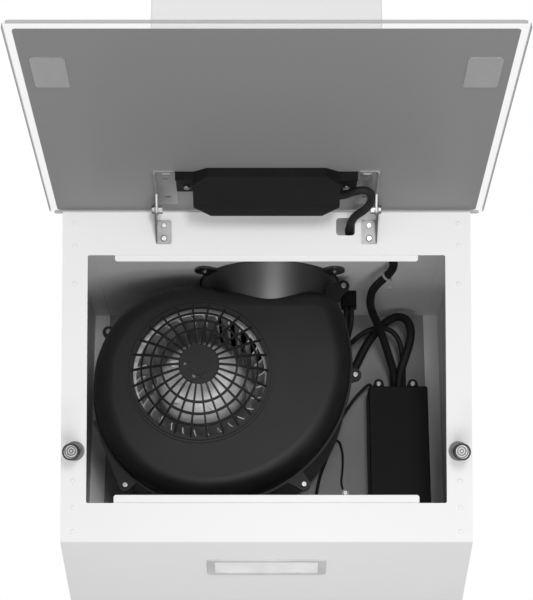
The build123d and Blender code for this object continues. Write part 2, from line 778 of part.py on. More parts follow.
# Domed inlet grille, with its axis on local Z and its seat on the front shell at 0
def make_grille():
    height = grille_height
    middle = (grille_mid_radius, grille_mid_height)
    crown = ThreePointArc((grille_hub_radius, height), middle, (grille_rim_radius, 0.2))
    middle = (grille_mid_radius - grille_depth / 2, grille_mid_height - grille_depth)
    under = ThreePointArc((grille_hub_radius, height - grille_depth), middle, (inlet_radius - 1.2, 0.0))
    band = make_face([crown, under, Line(crown @ 0, under @ 0), Line(crown @ 1, under @ 1)])
    dome = revolve(Plane.XZ.location * band, axis=Axis.Z)
    bar = block((grille_hub_radius - 4, grille_rim_radius), (-grille_bar / 2, grille_bar / 2), (-4, height + 1))
    cage = [Rot(0, 0, 270 + (i + 0.5) * 360 / grille_spokes) * bar for i in range(grille_spokes)]
    for radius in grille_ring_radii:
        ring = Circle(radius + grille_bar / 2) - Circle(radius - grille_bar / 2)
        cage.append(extrude(ring, amount=height + 1))
    cage = Part() + cage
    grille = dome & cage
    rim = Circle(grille_rim_radius) - Circle(inlet_radius - 1.6)
    rim = extrude(rim, amount=grille_rim_thickness)
    sleeve = Circle(inlet_radius - seat_gap) - Circle(inlet_radius - 1.6)
    rim += Pos(0, 0, -grille_sleeve_depth) * extrude(sleeve, amount=grille_sleeve_depth)
    hub = disc(0, 0, height - 4.5, grille_hub_radius, 4.5)
    hub = fillet(hub.edges().group_by(Axis.Z)[-1], 1.2)
    hub += disc(0, 0, height, grille_boss_radius, 1.0)
    hub += disc(0, -3.5, height + 1.0, 3.0, 0.8)
    crescent = Circle(grille_hub_radius - 6) - Circle(grille_boss_radius + 2)
    crescent &= Pos(0, -grille_boss_radius - 4) * Rectangle(15, 8)
    hub -= Pos(0, 0, height - 5) * extrude(crescent, amount=8)
    window = Pos(-grille_boss_radius - 4.3, 0) * RegularPolygon(3.0, 3, rotation=90)
    hub -= Pos(0, 0, height - 5) * extrude(window, amount=8)
    return grille + rim + hub


save("inlet_grille", from_wall(Pos(inlet_x, inlet_z, 0) * make_grille(), scroll_front + seat_gap))


# Motor, shaft and fan wheel, with the axis on local Z measured from the wall
def make_motor():
    seat = scroll_back + scroll_wall + seat_gap
    body = disc(0, 0, seat, motor_radius, motor_front - seat)
    body = fillet(body.edges().group_by(Axis.Z)[-1], 12.0)
    body += disc(0, 0, seat, motor_flange_radius, motor_flange_thickness)
    body += disc(0, 0, motor_front, 11.0, 5.0)
    body -= disc(0, 0, motor_front - 40, shaft_radius + shaft_clearance, 60)
    return body


def make_shaft():
    shaft = disc(0, 0, motor_front - 39, shaft_radius, wheel_dome_nose + 8 - motor_front + 39)
    nut = Pos(0, 0, wheel_dome_nose + seat_gap) * extrude(RegularPolygon(7.0, 6), amount=5.0)
    return shaft + nut


def make_wheel():
    foot = wheel_dome_radius + 6
    profile = Polyline(
        (wheel_radius, wheel_back),
        (foot, wheel_back),
        (wheel_dome_radius, wheel_back + 8),
        (wheel_dome_radius - 1.5, wheel_nose_start),
    )
    nose_end = (wheel_flat_radius, wheel_dome_nose - wheel_sheet)
    nose = ThreePointArc(profile @ 1, wheel_nose_shoulder, nose_end)
    flat = Line(nose_end, (shaft_radius + 0.05, wheel_dome_nose - wheel_sheet))
    line = Wire([*profile.edges(), nose, flat])
    skin = make_face(offset(line, amount=wheel_sheet, side=Side.RIGHT, closed=True).edges())
    wheel = revolve(Plane.XZ.location * skin, axis=Axis.Z)
    slot = Rot(0, 0, wheel_slot_turn) * SlotOverall(wheel_slot_length, wheel_slot_width)
    slot = extrude(Pos(wheel_slot_place, 0) * slot, amount=wheel_dome_nose - wheel_nose_start + 1)
    slot = Pos(0, 0, wheel_nose_start) * slot
    wheel -= [Rot(0, 0, i * 360 / wheel_slots) * slot for i in range(wheel_slots)]
    inner = Vector(wheel_inner_radius, 0)
    outer = Vector(wheel_radius - 1, 0).rotate(Axis.Z, blade_lead)
    middle = (inner + outer) * 0.5 + Vector(2.2, -4.6)
    blade = trace(ThreePointArc(inner, middle, outer), line_width=wheel_sheet)
    blade = Pos(0, 0, wheel_back + wheel_sheet / 2) * extrude(blade, amount=wheel_front - wheel_back)
    wheel += [Rot(0, 0, i * 360 / wheel_blades) * blade for i in range(wheel_blades)]
    ring = Circle(wheel_radius) - Circle(wheel_radius - wheel_ring_width)
    return wheel + Pos(0, 0, wheel_front) * extrude(ring, amount=wheel_sheet)


def on_inlet_axis(shape):
    return from_wall(Pos(inlet_x, inlet_z, 0) * shape, 0)


save("motor", on_inlet_axis(make_motor()))
save("motor_shaft", on_inlet_axis(make_shaft()))
save("fan_wheel", on_inlet_axis(make_wheel()))


# Outlet neck, collar and backdraft flaps
def at_duct(shape):
    return Pos(duct_x, -duct_from_wall, 0) * shape


def duct_flange(thickness):
    """Ring round the duct with a lobe for each of its four screws."""
    flange = Circle(neck_flange_radius)
    for x, y in neck_screws():
        flange += Pos(x - duct_x, y + duct_from_wall) * Circle(neck_lobe_radius)
    flange -= Circle(duct_radius - duct_wall)
    for x, y in neck_screws():
        flange -= Pos(x - duct_x, y + duct_from_wall) * Circle(screw_radius + screw_hole_clearance)
    return extrude(flange, amount=thickness)


def make_neck():
    high = top - 2 * sheet
    tube = Circle(duct_radius) - Circle(duct_radius - duct_wall)
    low = top - neck_depth + seat_gap
    neck = Pos(0, 0, low) * extrude(tube, amount=high - low)
    neck += Pos(0, 0, high - neck_flange_thickness) * duct_flange(neck_flange_thickness)
    rim = Circle(neck_flange_radius) - Circle(neck_flange_radius - duct_wall)
    return at_duct(neck + Pos(0, 0, high - neck_rim_depth) * extrude(rim, amount=neck_rim_depth))


flap_socket_end = duct_radius - duct_wall - flap_boss_floor


def make_collar():
    """Collar with a ledge that the flaps rest on and two inner bosses that hold the flap pin."""
    low = top - sheet
    tube = Circle(duct_radius) - Circle(duct_radius - duct_wall)
    collar = Pos(0, 0, low) * (extrude(tube, amount=collar_height) + duct_flange(collar_flange_thickness))
    seat = Circle(duct_radius - duct_wall + 0.5) - Circle(duct_radius - duct_wall - flap_seat_width)
    seat -= Rectangle(2 * duct_radius, 4 * flap_boss_radius)
    under = top + flap_height - flap_thickness / 2 - seat_gap - flap_seat_thickness
    collar += Pos(0, 0, under) * extrude(seat, amount=flap_seat_thickness)
    bosses = Cylinder(flap_boss_radius, 2 * (duct_radius - duct_wall / 2))
    bosses -= Cylinder(flap_boss_radius + 1, 2 * (duct_radius - duct_wall - flap_boss_length))
    bosses -= Cylinder(flap_pin_radius + flap_pin_clearance, 2 * flap_socket_end)
    return at_duct(collar + Pos(0, 0, top + flap_height) * Rot(0, 90, 0) * bosses)


def make_flap():
    """Rear half disc with two knuckles on the pin; the front one is this turned half round."""
    reach = duct_radius - duct_wall - flap_edge_gap
    half = Circle(reach) & Pos(0, reach / 2 + knuckle_radius + 0.8) * Rectangle(2 * reach, reach)
    plate = Pos(0, 0, -flap_thickness / 2) * extrude(half, amount=flap_thickness)
    bore = Rot(0, 90, 0) * Cylinder(flap_pin_radius + shaft_clearance, 2 * duct_radius)
    knuckle = Rot(0, 90, 0) * Cylinder(knuckle_radius, 14)
    web = block((-7, 7), (0, knuckle_radius + 2), (-flap_thickness / 2, flap_thickness / 2))
    flap = plate
    for x in (-48, 16):
        flap += Pos(x, 0, 0) * (knuckle + web)
    return flap - bore


def make_flap_pin():
    pin = Rot(0, 90, 0) * Cylinder(flap_pin_radius, 2 * (flap_socket_end - flap_pin_clearance))
    return at_duct(Pos(0, 0, top + flap_height) * pin)


flap = make_flap()
save("outlet_neck", make_neck())
save("duct_collar", make_collar())
save("flap_pin", make_flap_pin())
save("flap_rear", at_duct(Pos(0, 0, top + flap_height) * flap))
save("flap_front", at_duct(Pos(0, 0, top + flap_height) * Rot(0, 0, 180) * flap))
neck_low = top - 2 * sheet - neck_flange_thickness
save("neck_screws", *[Pos(x, y, neck_low) * Rot(180, 0, 0) * screw(7) for x, y in neck_screws()])

# Control box on the back panel
box_right = box_left + box_width
box_top = top - box_below_top
box_split = sheet + box_depth - box_lid_depth


def box_plan(inset):
    low = box_top - box_height
    width, height = box_width - 2 * inset, box_height - 2 * inset
    return Pos((box_left + box_right) / 2, low + box_height / 2) * RectangleRounded(width, height, 3.0 - inset)


def make_control_box():
    base = extrude(box_plan(0), amount=box_split - sheet)
    base -= Pos(0, 0, box_wall) * extrude(box_plan(box_wall), amount=box_depth)
    lid = extrude(box_plan(0), amount=box_lid_depth)
    lid = fillet(lid.edges().group_by(Axis.Z)[-1], 1.6)
    lid -= extrude(box_plan(box_wall), amount=box_lid_depth - box_wall)
    rib = (box_top - box_height + 8, box_top - 8)
    lid += block((box_right - 4.6, box_right - 3.2), rib, (0, box_lid_depth + 0.8))
    hole = screw_radius + screw_hole_clearance
    for x in box_ear_places:
        ear = Pos(box_left + x, box_top + 4.0) * Circle(box_ear_radius)
        root = Line((box_left + x - 8, box_top - 3), (box_left + x + 8, box_top - 3))
        ear = make_hull([*ear.edges(), root])
        base += Pos(0, 0, box_split - sheet - 8) * extrude(ear - box_plan(box_wall), amount=8)
        lid += extrude(ear - box_plan(box_wall), amount=box_lid_depth - 4)
        lid -= disc(box_left + x, box_top + 4.0, -1, hole, box_lid_depth + 2)
        base -= disc(box_left + x, box_top + 4.0, box_split - sheet - 9, hole, 20)
    for x, away, radius in box_entries.values():
        passage = Rot(-90, 0, 0) * Cylinder(radius + 0.2, 2 * box_wall)
        base -= Pos(x, box_top, away - sheet) * passage
    return from_wall(base, sheet), from_wall(lid, box_split)


# Cable entries in the top wall of the control box, as X, distance from the wall and radius
box_entries = {
    "control": (170.0, 27.0, sleeve_radius),
    "mains": (174.6, 37.5, lead_radius),
    "motor": (181.5, 29.5, wire_radius),
    "lamp": (140.0, 25.0, lamp_wire_radius),
}
box_base, box_lid = make_control_box()
save("control_box_base", box_base)
save("control_box_lid", box_lid)
lid_screw = Pos(box_left, box_top + 4.0, box_lid_depth - 4) * screw(14)
save("control_box_screws", *[from_wall(Pos(x, 0, 0) * lid_screw, box_split) for x in box_ear_places])
power_board = block((box_left + 6, box_right - 6), (box_top - box_height + 6, box_top - 12), (0, 1.6))
power_board += disc(box_left + 24, box_top - 120, 1.6, 12.0, 30.0)
power_board += block((box_right - 36, box_right - 14), (box_top - 96, box_top - 60), (1.6, 22))
power_board += block((box_right - 34, box_right - 12), (box_top - 140, box_top - 120), (1.6, 17))
save("power_board", from_wall(power_board, sheet + box_wall + seat_gap))


# Round cables, as straight runs joined by arcs
def cable_path(points):
    """Each arc is as wide as the shorter run beside its corner allows."""
    radii = []
    for before, corner, after in zip(points, points[1:], points[2:]):
        turn = radians((corner - before).get_angle(after - corner))
        run = min((corner - before).length, (after - corner).length)
        radii.append(0.45 * run / tan(turn / 2))
    return FilletPolyline(*points, radius=radii)


def cable(points, radius):
    path = cable_path(points)
    piece = sweep(Plane(origin=path @ 0, z_dir=path % 0).location * Circle(radius), path=path)
    length = sum(edge.length for edge in path.edges())
    bends = [round(edge.radius, 1) for edge in path.edges() if edge.geom_type == GeomType.CIRCLE]
    ratio = piece.volume / (pi * radius**2 * length)
    print("length", round(length, 1), "bends", bends, "ratio", round(ratio, 4))
    return piece


def hood_points(*places):
    """Points given as X, distance from the wall and distance below the top edge."""
    return [Vector(x, -away, top - below) for x, away, below in places]


def glass_points(*places):
    return [Vector(glass_plane.from_local_coords(place)) for place in places]


def face_points(*places):
    """Points given as X, distance down the face and height off it."""
    return [Vector(face_plane.from_local_coords((x, -down, high))) for x, down, high in places]


def box_drop(name, outside):
    """The last run of a cable, down through its entry into the control box."""
    x, away, _ = box_entries[name]
    return [(x, away, outside), (x, away, box_below_top + 8)]


# The glass cable is drawn with the glass open; it ends just inside the hole in the face.
glass_cable_points = glass_points(
    (68, touch_cable_s, touch_cable_n),
    (84, touch_cable_s, touch_cable_n),
    (97, 80, touch_cable_n),
    (108, 84, touch_cable_n),
    (116, 78, 14),
    (116.5, 66, 19),
) + face_points((110.2, 4, 30), (99.9, 8.4, 14), (95.6, 16.2, 0), (95.2, 20.8, -8))
save("glass_cable", cable(glass_cable_points, sleeve_radius))
cable_heading = (glass_cable_points[-1] - glass_cable_points[-2]).normalized()
cable_end = glass_cable_points[-1] + cable_heading * cable_clearance
tie_low, tie_high = hood_points((157, 221, 15), (133, 190, 27))
control_points = [
    cable_end,
    cable_end + cable_heading * 22,
    *hood_points((128, 300, 10), (155, 246, 8)),
    tie_low,
    tie_high,
    *hood_points((131, 160, 32), (133.5, 131, 35), (140.2, 103, 38), (150.8, 74, 50.5)),
    *hood_points((160.9, 50, 73), (168.5, 36, 90), *box_drop("control", 106)),
]
save("control_cable", cable(control_points, sleeve_radius))
mains_route = [
    (gland_x, gland_from_wall, -16),
    (gland_x, gland_from_wall, 20),
    (65, 14.5, 48),
    (54, 13.5, 76),
    (63, 13, 98),
    (85, 13, 108.5),
    (107.5, 13, 101),
    (120, 13, 78),
    (133, 18, 51),
    (147, 28, 33.5),
    (160, 36, 22.5),
    (174, 44, 17),
    (186, 51, 23),
    (191.5, 55, 38),
    (190, 56, 55),
    (184, 54, 74),
    (177, 47, 92),
]
save("mains_lead", cable(hood_points(*mains_route, *box_drop("mains", 108)), lead_radius))
plug_base = plug_drop + 3 * sheet
plug_middle = plug_left + plug_width / 2
plug_lead_away = plug_from_wall + plug_thickness / 2
plug_outer_lead = plug_middle + plug_lead_spacing / 2
plug_inner_lead = plug_middle - plug_lead_spacing / 2
motor_route = [
    (plug_outer_lead, plug_lead_away, plug_base - 1),
    (plug_outer_lead, plug_lead_away, plug_base + 11),
    (109, 88, 50),
    (105.5, 76, 60),
    (107, 61, 62),
    (112.5, 48, 56),
    (122, 42, 45),
    (135, 43, 37),
    (149, 46, 33.5),
    (163, 47, 36.5),
    (173.5, 45, 45.5),
    (179, 41, 60),
    (181.2, 35, 80),
]
motor_lead = [
    (plug_inner_lead, plug_lead_away, plug_base - 1),
    (plug_inner_lead, plug_lead_away, plug_base + 15),
    (102.5, 88, 58),
    (105, 66, 76),
    (107.5, 24, 86),
    (60, 22.5, 120),
    (20, 19, 128),
    (-18, 11, 136),
    (motor_lead_x, 8, inlet_below_top),
    (motor_lead_x, scroll_back + scroll_wall, inlet_below_top),
]
motor_wire = cable(hood_points(*motor_route, *box_drop("motor", 104)), wire_radius)
save("motor_cable", motor_wire, cable(hood_points(*motor_lead), wire_radius))


def above_floor(away, height):
    """Distance below the top edge of a point resting on the underside sheet."""
    drop = top - fold.Z + (-fold.Y - away) * tan(slope)
    return drop - (sheet + cable_clearance + height) / cos(slope)


lamp_side = lamp_from_fold + lamp_width / 2 - lamp_lip - cable_clearance
lamp_entry = Vector(under_plane.from_local_coords((lamp_wire_x, -lamp_side + lamp_wall, lamp_wire_height)))
lamp_turn = Vector(under_plane.from_local_coords((lamp_wire_x, -lamp_side - 12, lamp_wire_height)))
lamp_route = [
    (62, 6, 250),
    (50, 6, above_floor(6, lamp_wire_radius) - 22),
    (46, 30, above_floor(30, lamp_wire_radius)),
    (24, 200, above_floor(200, lamp_wire_radius)),
]
lamp_start = hood_points(*reversed(box_drop("lamp", 106)), (127, 24, 105), (113.5, 21, 127), (101.5, 14, 145))
save("lamp_cable", cable([*lamp_start, *hood_points(*lamp_route), lamp_turn, lamp_entry], lamp_wire_radius))
earth_route = [
    (motor_earth_x, scroll_back + scroll_wall, motor_earth_below_top),
    (motor_earth_x, 12, motor_earth_below_top),
    (93, 8, 172),
    (101, 7, 191),
    (100.7, 6, 218),
    (97.5, 3.2, 236),
    (100.6, 2.4, 243.2),
]
save("earth_wire", cable(hood_points(*earth_route), earth_radius))


def make_earth_terminal():
    """Ring tongue under its screw, with a short barrel on the end of the wire."""
    ring = disc(earth_x, top - earth_below_top, 0, 4.2, 0.9)
    ring -= disc(earth_x, top - earth_below_top, -1, screw_radius + 0.1, 3)
    return from_wall(ring, sheet)


save("earth_terminal", make_earth_terminal())
save("earth_screw", from_wall(Pos(earth_x, top - earth_below_top, 0.9) * screw(4), sheet))


# Tie round the control cable, connector under the top plate and gland for the supply cord
def make_cable_tie():
    middle = (tie_low + tie_high) * 0.5
    band = Circle(sleeve_radius + 1.2) - Circle(sleeve_radius + 0.05)
    tie = Pos(0, 0, -1.5) * extrude(band, amount=3)
    tie += block((-2.4, 2.4), (sleeve_radius + 0.6, sleeve_radius + 4.2), (-2.2, 2.2))
    tie += block((-0.6, 0.6), (sleeve_radius + 3, sleeve_radius + 15), (-1.5, 1.5))
    across = (tie_high - tie_low).cross(Vector(0.35, 0.1, -1))
    return Plane(origin=middle, x_dir=across, z_dir=tie_high - tie_low).location * tie


def make_motor_plug():
    right, front = plug_left + plug_width, plug_from_wall + plug_thickness
    high = top - 2 * sheet - seat_gap
    plug = block((plug_left, right), (-front, -plug_from_wall), (top - plug_base, high))
    plug = fillet(plug.edges().filter_by(Axis.Z), 2.0)
    waist = block((plug_left - 1, right + 1), (-front - 1, -plug_from_wall + 1), (0, 1.2))
    waist -= block((plug_left + 0.8, right - 0.8), (-front + 0.8, -plug_from_wall - 0.8), (0, 1.2))
    plug -= Pos(0, 0, high - 15) * waist
    plug += block((plug_left + 6, right - 6), (-front - 1.6, -front + 1), (high - 17, high - 6))
    for route in (motor_route, motor_lead):
        plug -= disc(route[0][0], -route[0][1], top - plug_base - 0.5, wire_radius + 0.1, 3)
    return plug


def make_gland():
    bore = lead_radius + 0.1
    gland = disc(0, 0, -10, gland_thread_radius, 10)
    gland += extrude(RegularPolygon(10.5, 6), amount=6)
    dome = disc(0, 0, 6, 8.2, 8)
    gland += fillet(dome.edges().group_by(Axis.Z)[-1], 3.0)
    gland += Pos(0, 0, -sheet - 5) * extrude(RegularPolygon(10.5, 6), amount=5)
    return Pos(gland_x, -gland_from_wall, top - sheet) * (gland - disc(0, 0, -11, bore, 30))


save("cable_tie", make_cable_tie())
save("motor_plug", make_motor_plug())
save("cable_gland", make_gland())


# Chimney cover
def chimney_shell(inset, low, high):
    """Channel open at the wall, with its rear edges turned in."""
    half = chimney_width / 2 - inset
    back, front = -inset, -chimney_depth + inset
    path = FilletPolyline(
        (half - chimney_return, back),
        (half, back),
        (half, front),
        (-half, front),
        (-half, back),
        (-half + chimney_return, back),
        radius=fold_radius - sheet / 2,
    )
    wall = make_face(offset(path, amount=sheet, side=Side.RIGHT, closed=True).edges())
    return Pos(0, 0, low) * extrude(wall, amount=high - low)


chimney_base = top - sheet
chimney_top = chimney_base + chimney_height
upper_top = chimney_top + upper_proud
upper_height = upper_proud + upper_travel + upper_overlap
save("lower_chimney", chimney_shell(0, chimney_base, chimney_top))
save("upper_chimney", chimney_shell(sheet + chimney_gap, upper_top - upper_height, upper_top))


def make_chimney_bracket():
    inset = 2 * sheet + chimney_gap
    half = chimney_width / 2 - inset - seat_gap
    web = block((-half, half), (-inset - 1.5, -inset), (0, 35))
    for x in (-half + 18, 0, half - 18):
        web -= Pos(x, 0, 17.5) * Rot(90, 0, 0) * extrude(SlotOverall(16, 5), amount=8, both=True)
    wings = both_sides(block((half - 1.5, half), (-inset - 24, -inset), (0, 35)))
    bracket = web + wings[0] + wings[1]
    bracket = fillet(bracket.edges().filter_by(Axis.Z).group_by(Axis.Y)[-1], sheet + seat_gap)
    return Pos(0, 0, upper_top - 45) * bracket


save("chimney_bracket", make_chimney_bracket())


for node, solids in nodes.items():
    print(node, len(solids))
os.makedirs("parts", exist_ok=True)
for node, solids in nodes.items():
    export_step(Compound(children=solids), f"parts/{node}.step")
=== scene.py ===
# %% [markdown]
# # Dressing an angled range hood
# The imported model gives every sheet, screw and moulding at its real size and place,
# in metres. This script gives each piece its finish, models the soft wiring that the
# solids only block out, and sets the light and the camera.

# %% Load the fixed frame
import json
from math import cos, pi, radians, sin
import bpy
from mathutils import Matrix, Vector


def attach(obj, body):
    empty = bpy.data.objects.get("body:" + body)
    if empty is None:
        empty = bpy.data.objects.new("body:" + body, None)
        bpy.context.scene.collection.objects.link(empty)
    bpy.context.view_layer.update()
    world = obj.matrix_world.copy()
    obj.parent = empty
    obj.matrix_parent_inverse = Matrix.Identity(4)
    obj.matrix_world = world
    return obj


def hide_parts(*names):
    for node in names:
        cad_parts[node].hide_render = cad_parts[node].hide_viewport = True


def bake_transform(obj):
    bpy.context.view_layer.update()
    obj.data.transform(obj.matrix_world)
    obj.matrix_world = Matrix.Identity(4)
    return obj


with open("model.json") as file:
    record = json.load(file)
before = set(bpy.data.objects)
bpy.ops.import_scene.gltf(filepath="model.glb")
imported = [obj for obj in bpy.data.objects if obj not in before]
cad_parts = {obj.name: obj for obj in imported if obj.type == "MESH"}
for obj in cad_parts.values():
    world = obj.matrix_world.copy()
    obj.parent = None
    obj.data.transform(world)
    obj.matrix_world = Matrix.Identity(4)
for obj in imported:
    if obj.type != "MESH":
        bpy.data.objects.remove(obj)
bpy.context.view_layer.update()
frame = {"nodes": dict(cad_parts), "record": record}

nodes = frame["nodes"]

# %% [markdown]
# ## Reference planes of the body
# The face leans 14.7 degrees and the open glass rises 5 degrees from its hinge. A cable
# that crosses both is easiest to place in their own measures, so points on the face are
# given as X, distance down the face and height off it, and points on the glass as X,
# distance from its hinge edge and height below it, in millimetres.

# %% Points on the body and on the face
top, top_depth = 0.210, 0.385
face_lean = 14.7
tilt = radians(face_lean)


def at(x, away, below):
    """X, distance from the wall and distance below the top edge, in millimetres."""
    return Vector((x / 1000, -away / 1000, top - below / 1000))


def on_face(x, down, high=0.0):
    """X, distance down the face from its top edge and height off it, in millimetres."""
    down, high = down / 1000, high / 1000
    away = top_depth - down * sin(tilt) + high * cos(tilt)
    return Vector((x / 1000, -away, top - down * cos(tilt) - high * sin(tilt)))


print("top of the face", [round(v, 3) for v in on_face(0, 0)])

# %% Points on the open glass
glass_travel = 109.75
rise = radians(glass_travel - face_lean - 90.0)
pivot_down, pivot_high = 2.75, 29.5
pivot = on_face(0, pivot_down, pivot_high)
glass_along = Vector((0, -cos(rise), sin(rise)))
glass_out = Vector((0, -sin(rise), -cos(rise)))
edge_behind_pivot, edge_above_pivot = 0.04055, 0.0151
glass_edge = pivot - glass_along * edge_behind_pivot - glass_out * edge_above_pivot


def on_glass(x, along, below=0.0):
    """X, distance from the hinge edge of the glass and height below it, in millimetres."""
    sideways = Vector((x / 1000, 0, 0))
    return glass_edge + sideways + glass_along * (along / 1000) + glass_out * (below / 1000)


print("hinge line at", [round(v, 4) for v in pivot])

# %% [markdown]
# ## Shader sums written as Python
# A finish is a small sum of noises. The nodes could be added one by one, but then the
# sum is lost among them. One class wraps a socket, so that `0.5 + 0.2 * grain` adds the
# Math nodes by itself, and another holds a material and adds every other node.

# %% Socket arithmetic
class Amount:
    """A shader socket that can be added, scaled and compared like a number."""

    def __init__(self, finish, socket):
        self.finish, self.socket = finish, socket

    def _with(self, operation, first, second=0.0):
        return self.finish.node("ShaderNodeMath", {"operation": operation}, {0: first, 1: second})

    def __add__(self, other):
        return self._with("ADD", self, other)

    def __sub__(self, other):
        return self._with("SUBTRACT", self, other)

    def __rsub__(self, other):
        return self._with("SUBTRACT", other, self)

    def __mul__(self, other):
        return self._with("MULTIPLY", self, other)

    def __pow__(self, other):
        return self._with("POWER", self, other)

    def __gt__(self, other):
        return self._with("GREATER_THAN", self, other)

    def __lt__(self, other):
        return self._with("LESS_THAN", self, other)

    def __abs__(self):
        return self._with("ABSOLUTE", self)

    __radd__, __rmul__ = __add__, __mul__

    def wave(self, length):
        """A sine along the pattern, one period for each length."""
        return self._with("SINE", self * (2 * pi / length))

    def spread(self, low, high):
        """Remap a range of the pattern to 0 to 1, clamped."""
        settings = {"clamp": True, "interpolation_type": "SMOOTHSTEP"}
        return self.finish.node("ShaderNodeMapRange", settings, {0: self, 1: low, 2: high})


print("sums ready")

# %% Finishes
class Finish:
    """One material on a Principled shader, with constants set on the shader's own sockets."""

    def __init__(self, name, **constants):
        self.material = bpy.data.materials.new(name)
        self.material.use_nodes = True
        self.tree = self.material.node_tree
        self.shader = self.tree.nodes["Principled BSDF"]
        for key, value in constants.items():
            self.shader.inputs[key.replace("_", " ").title().replace("Ior", "IOR")].default_value = value
        self.place = self.node("ShaderNodeTexCoord", out="Object")

    def node(self, kind, settings=None, sockets=None, out=0):
        """Add a node: its settings first, then the values and links of its sockets."""
        made = self.tree.nodes.new(kind)
        for key, value in (settings or {}).items():
            setattr(made, key, value)
        for key, value in (sockets or {}).items():
            if isinstance(value, Amount):
                self.tree.links.new(value.socket, made.inputs[key])
            else:
                made.inputs[key].default_value = value
        return Amount(self, made.outputs[out])

    def noise(self, scale, detail=3.0, roughness=0.5):
        sockets = {"Vector": self.place, "Scale": scale, "Detail": detail, "Roughness": roughness}
        return self.node("ShaderNodeTexNoise", {}, sockets)

    def cells(self, scale, out="Distance", feature="F1"):
        sockets = {"Vector": self.place, "Scale": scale}
        return self.node("ShaderNodeTexVoronoi", {"feature": feature}, sockets, out)

    def axis(self, name, place=None):
        return self.node("ShaderNodeSeparateXYZ", {}, {0: place or self.place}, name)

    def shades(self, amount, dark, light):
        """Mix two colours."""
        sockets = {0: amount, 6: (*dark, 1), 7: (*light, 1)}
        return self.node("ShaderNodeMix", {"data_type": "RGBA"}, sockets, 2)

    def feed(self, **links):
        for key, amount in links.items():
            self.tree.links.new(amount.socket, self.shader.inputs[key.replace("_", " ").title()])
        return self

    def bump(self, height, distance, strength):
        sockets = {"Height": height, "Distance": distance, "Strength": strength}
        return self.feed(normal=self.node("ShaderNodeBump", {}, sockets))


def grey(level):
    return (level, level, level)


finishes = {}
print("finishes ready")

# %% [markdown]
# ## White powder coat
# The body and chimney are folded steel, baked with a satin white powder. Powder flows
# out with a faint orange peel, and a broad, very weak mottling of its gloss. One flat
# white would hide both, so they come from noise in metres, which keeps the grain at its
# size on every panel.

# %% Powder coat
def powder_coat(name, level):
    coat = Finish(name, specular_ior_level=0.4)
    peel = coat.noise(900, detail=2)
    drift = coat.noise(9, detail=2)
    coat.feed(base_color=coat.shades(drift.spread(0.3, 0.7), grey(level * 0.985), grey(level)))
    coat.feed(roughness=0.36 + 0.1 * drift + 0.06 * peel)
    return coat.bump(peel, 0.00004, 0.5)


finishes["white_steel"] = powder_coat("white powder coat", 0.8)
# The back panel takes this dark grey in place of the white: painted shade for the inside of the hood.
finishes["dark_panel_shade"] = powder_coat("grey panel with painted shade", 0.28)
print("powder coats:", len(finishes))

# %% [markdown]
# ## Zinc and plated steel
# Galvanised sheet shows a spangle of crystals, each a slightly different grey, so it
# takes its grey from the cells of a Voronoi pattern. Screws and pins are plated and
# polished, and a noise gives them fine random scratches in their gloss only.

# %% Zinc sheet
def galvanised(name, level):
    zinc = Finish(name, metallic=1.0)
    facet = zinc.axis("X", zinc.cells(160, out="Color"))
    cloud = zinc.noise(60)
    zinc.feed(base_color=zinc.shades(0.7 * facet + 0.3 * cloud, grey(level * 0.93), grey(level)))
    zinc.feed(roughness=0.42 + 0.06 * facet + 0.05 * cloud)
    return zinc.bump(cloud + 0.4 * facet, 0.00001, 0.3)


finishes["galvanised_steel"] = galvanised("galvanised sheet", 0.5)
finishes["hinge_steel"] = galvanised("hinge plate", 0.25)
finishes["plate_steel"] = galvanised("catch plate", 0.6)
print("with zinc:", len(finishes))

# %% Plated and cast metal
def plated(name, level, roughness, metallic=1.0):
    metal = Finish(name, metallic=metallic)
    scuffs = metal.noise(2200, detail=4, roughness=0.7)
    haze = metal.noise(240)
    metal.feed(base_color=metal.shades(haze.spread(0.3, 0.7), grey(level * 0.9), grey(level)))
    metal.feed(roughness=roughness + 0.12 * scuffs + 0.05 * haze)
    return metal.bump(scuffs, 0.000015, 0.4)


finishes["steel"] = plated("plated steel", 0.36, 0.24)
finishes["motor_housing"] = plated("cast motor housing", 0.5, 0.42)
print("with plated metal:", len(finishes))

# %% [markdown]
# ## The fan wheel and the magnets
# The wheel's blades take a darker grey than its dome, a painted shade for the less lit
# blades. The caps of the two magnets are turned, with fine rings round their centre.
# Both patterns are round, so they read the distance from an axis instead of a noise,
# and they take the place of the plain grey of a plated metal.

# %% Round patterns
fan_x, fan_z, dome_radius, dome_blend = -0.081, 0.069, 0.055, 0.001
magnet_x, magnet_z, ring_pitch = 0.2162, -0.0652, 0.0026


def from_axis(finish, across, x, z):
    """Distance from a line along Y, in metres."""
    sideways = across - x
    upwards = finish.axis("Z") - z
    return (sideways * sideways + upwards * upwards) ** 0.5


pressed = plated("pressed fan wheel", 0.92, 0.42, metallic=0.2)
reach = from_axis(pressed, pressed.axis("X"), fan_x, fan_z)
# The blades are painted a darker grey than the dome: painted shade.
painted_shade_on_blades = reach.spread(dome_radius - dome_blend, dome_radius + dome_blend)
pressed.feed(base_color=pressed.shades(painted_shade_on_blades, grey(0.92), grey(0.72)))
finishes["wheel_steel"] = pressed

turned = plated("turned magnet cap", 0.4, 0.3)
reach = from_axis(turned, abs(turned.axis("X")), magnet_x, magnet_z)
groove = reach.wave(ring_pitch).spread(-0.4, 0.6)
turned.feed(base_color=turned.shades(groove, grey(0.16), grey(0.42)))
finishes["turned_steel"] = turned.bump(groove, 0.0004, 0.6)
print("with round patterns:", len(finishes))

# %% [markdown]
# ## Black mouldings
# The blower and the boxes are moulded in black plastic. The mould is spark-eroded, so
# the surface has a fine regular grain, and it shines softly where light grazes it. The
# neck shines most. More gloss on the plastic alone would grey it all over, so the neck
# has a clear coat over a blacker plastic, which keeps its shine to one streak.

